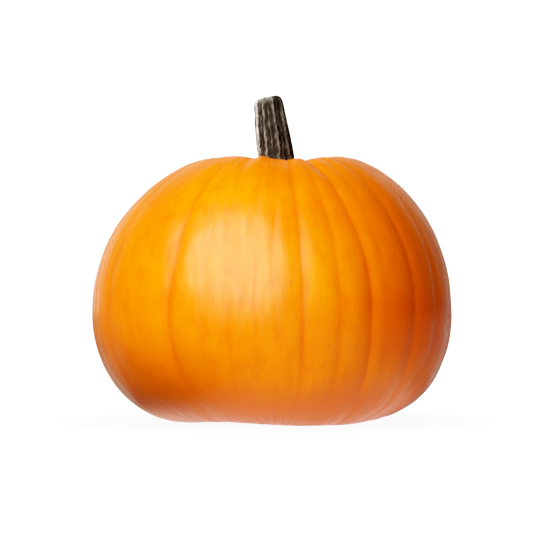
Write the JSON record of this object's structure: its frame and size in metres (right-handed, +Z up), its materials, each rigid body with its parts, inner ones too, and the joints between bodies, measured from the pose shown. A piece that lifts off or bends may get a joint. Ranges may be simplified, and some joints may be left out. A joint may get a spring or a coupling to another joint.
{
  "type": "pumpkin",
  "caption": "Squat round field pumpkin with shallow uneven ribs, glossy orange skin and a short leaning ridged dry stem; stands on its flattened blossom end.",
  "frame": {"origin": "on the resting plane, under the middle of the pumpkin's bounding box", "axes": "+Z up through the stem, -Y towards the front, +X to the right of the front view"},
  "size_m": [0.278, 0.2786, 0.2525],
  "materials": {
    "skin": "waxy orange rind with a soft gloss, darker in the grooves",
    "dry_stem": "dry grey-tan ridges with dark olive-brown furrows"
  },
  "bodies": {
    "root": {"fruit": "skin", "stem": "dry_stem"}
  },
  "joints": []
}
